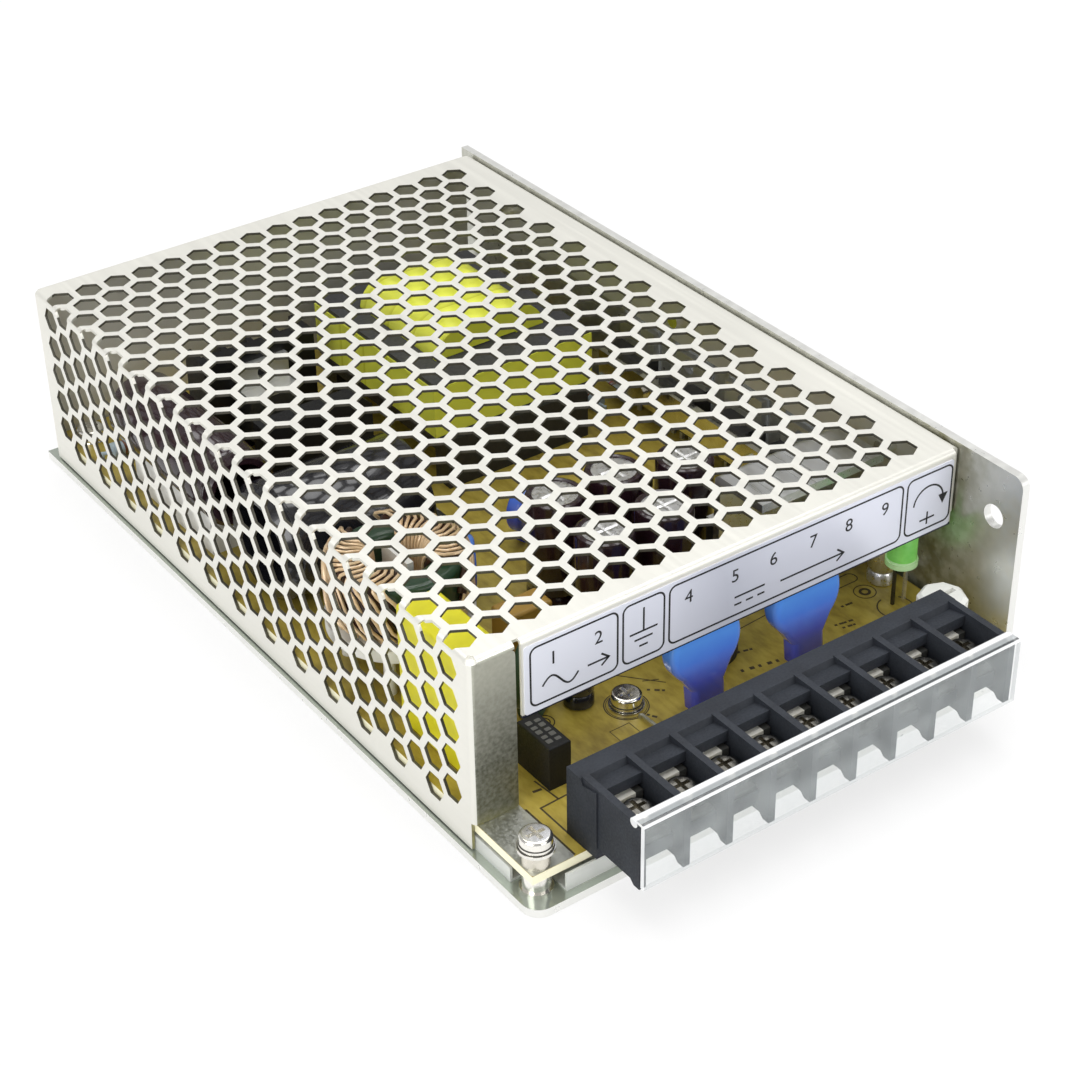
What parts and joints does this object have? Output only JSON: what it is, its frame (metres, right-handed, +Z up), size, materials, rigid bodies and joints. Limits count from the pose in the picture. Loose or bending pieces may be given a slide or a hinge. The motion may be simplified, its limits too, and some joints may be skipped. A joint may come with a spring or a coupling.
{
  "type": "enclosed power supply",
  "caption": "Enclosed AC to DC power supply: L-shaped aluminium chassis, perforated folded cover, barrier terminal block under a clear hinged strip, board with components.",
  "frame": {"origin": "centre of the base plate's underside, the face it is mounted by", "axes": "+X right along the front, +Y to the back along the case, +Z up from the base"},
  "size_m": [0.098, 0.17, 0.0374],
  "materials": {
    "chassis": "satin",
    "cover": "satin",
    "label": "satin",
    "sheet": "satin",
    "board": "satin",
    "plated_steel": "polished",
    "brass_bush": "satin",
    "block": "satin",
    "clear": "polished",
    "black_plastic": "satin",
    "white_plastic": "satin",
    "blue_epoxy": "gloss",
    "green_lens": "gloss",
    "yellow_plastic": "satin",
    "ferrite": "matte",
    "green_core": "satin",
    "copper": "satin",
    "can_sleeve": "gloss",
    "sealant": "matte",
    "grey_pad": "matte",
    "black_aluminium": "satin",
    "bare_aluminium": "satin"
  },
  "bodies": {
    "case": {"chassis": "chassis", "cover": "cover", "label": "label", "insulation_sheet": "sheet", "circuit_board": "board", "board_standoffs": "plated_steel", "earth_bush": "brass_bush", "flat_washers": "plated_steel", "spring_washers": "plated_steel", "board_screws": "plated_steel", "cover_screws": "plated_steel", "terminal_block": "block", "terminal_strips": "plated_steel", "clamp_plates": "plated_steel", "terminal_screws": "plated_steel", "trimmer_body": "white_plastic", "fuse": "black_plastic", "front_disc_capacitors": "blue_epoxy", "indicator_lamp": "green_lens", "lamp_leads": "plated_steel", "x_capacitor": "yellow_plastic", "choke_core": "green_core", "choke_winding_left": "copper", "choke_winding_right": "copper", "choke_base": "white_plastic", "bulk_capacitor": "can_sleeve", "second_capacitor": "can_sleeve", "silicone_bed": "sealant", "output_capacitors": "can_sleeve", "aux_capacitor": "can_sleeve", "small_capacitors": "can_sleeve", "transformer_core": "ferrite", "transformer_winding": "yellow_plastic", "transformer_tape": "yellow_plastic", "transformer_bobbin": "black_plastic", "wall_packages": "black_plastic", "thermal_pads": "grey_pad", "clamp_bar": "plated_steel", "clamp_screws": "plated_steel", "output_heatsink": "bare_aluminium", "output_rectifiers": "black_plastic", "bridge_rectifier": "black_plastic", "bar_heatsink": "black_aluminium", "switch_package": "black_plastic", "inner_disc_capacitors": "blue_epoxy", "thermistor": "black_plastic", "film_capacitor": "yellow_plastic", "filter_coil": "black_plastic", "control_chip": "black_plastic", "optocoupler": "black_plastic", "resistors": "white_plastic", "diodes": "black_plastic"},
    "terminal_flap": {"terminal_cover": "clear"},
    "knob": {"trimmer_knob": "white_plastic"}
  },
  "joints": [
    {"name": "terminal_cover_hinge", "type": "hinge", "parent": "case", "child": "terminal_flap", "pos_m": [0, -0.088, 0.0192], "axis": [-1, 0, 0], "range_deg": [0, 100]},
    {"name": "trimmer_turn", "type": "hinge", "parent": "case", "child": "knob", "pos_m": [0.0396, -0.0697, 0.0099], "axis": [0, 0, 1], "range_deg": [-135, 135]}
  ]
}
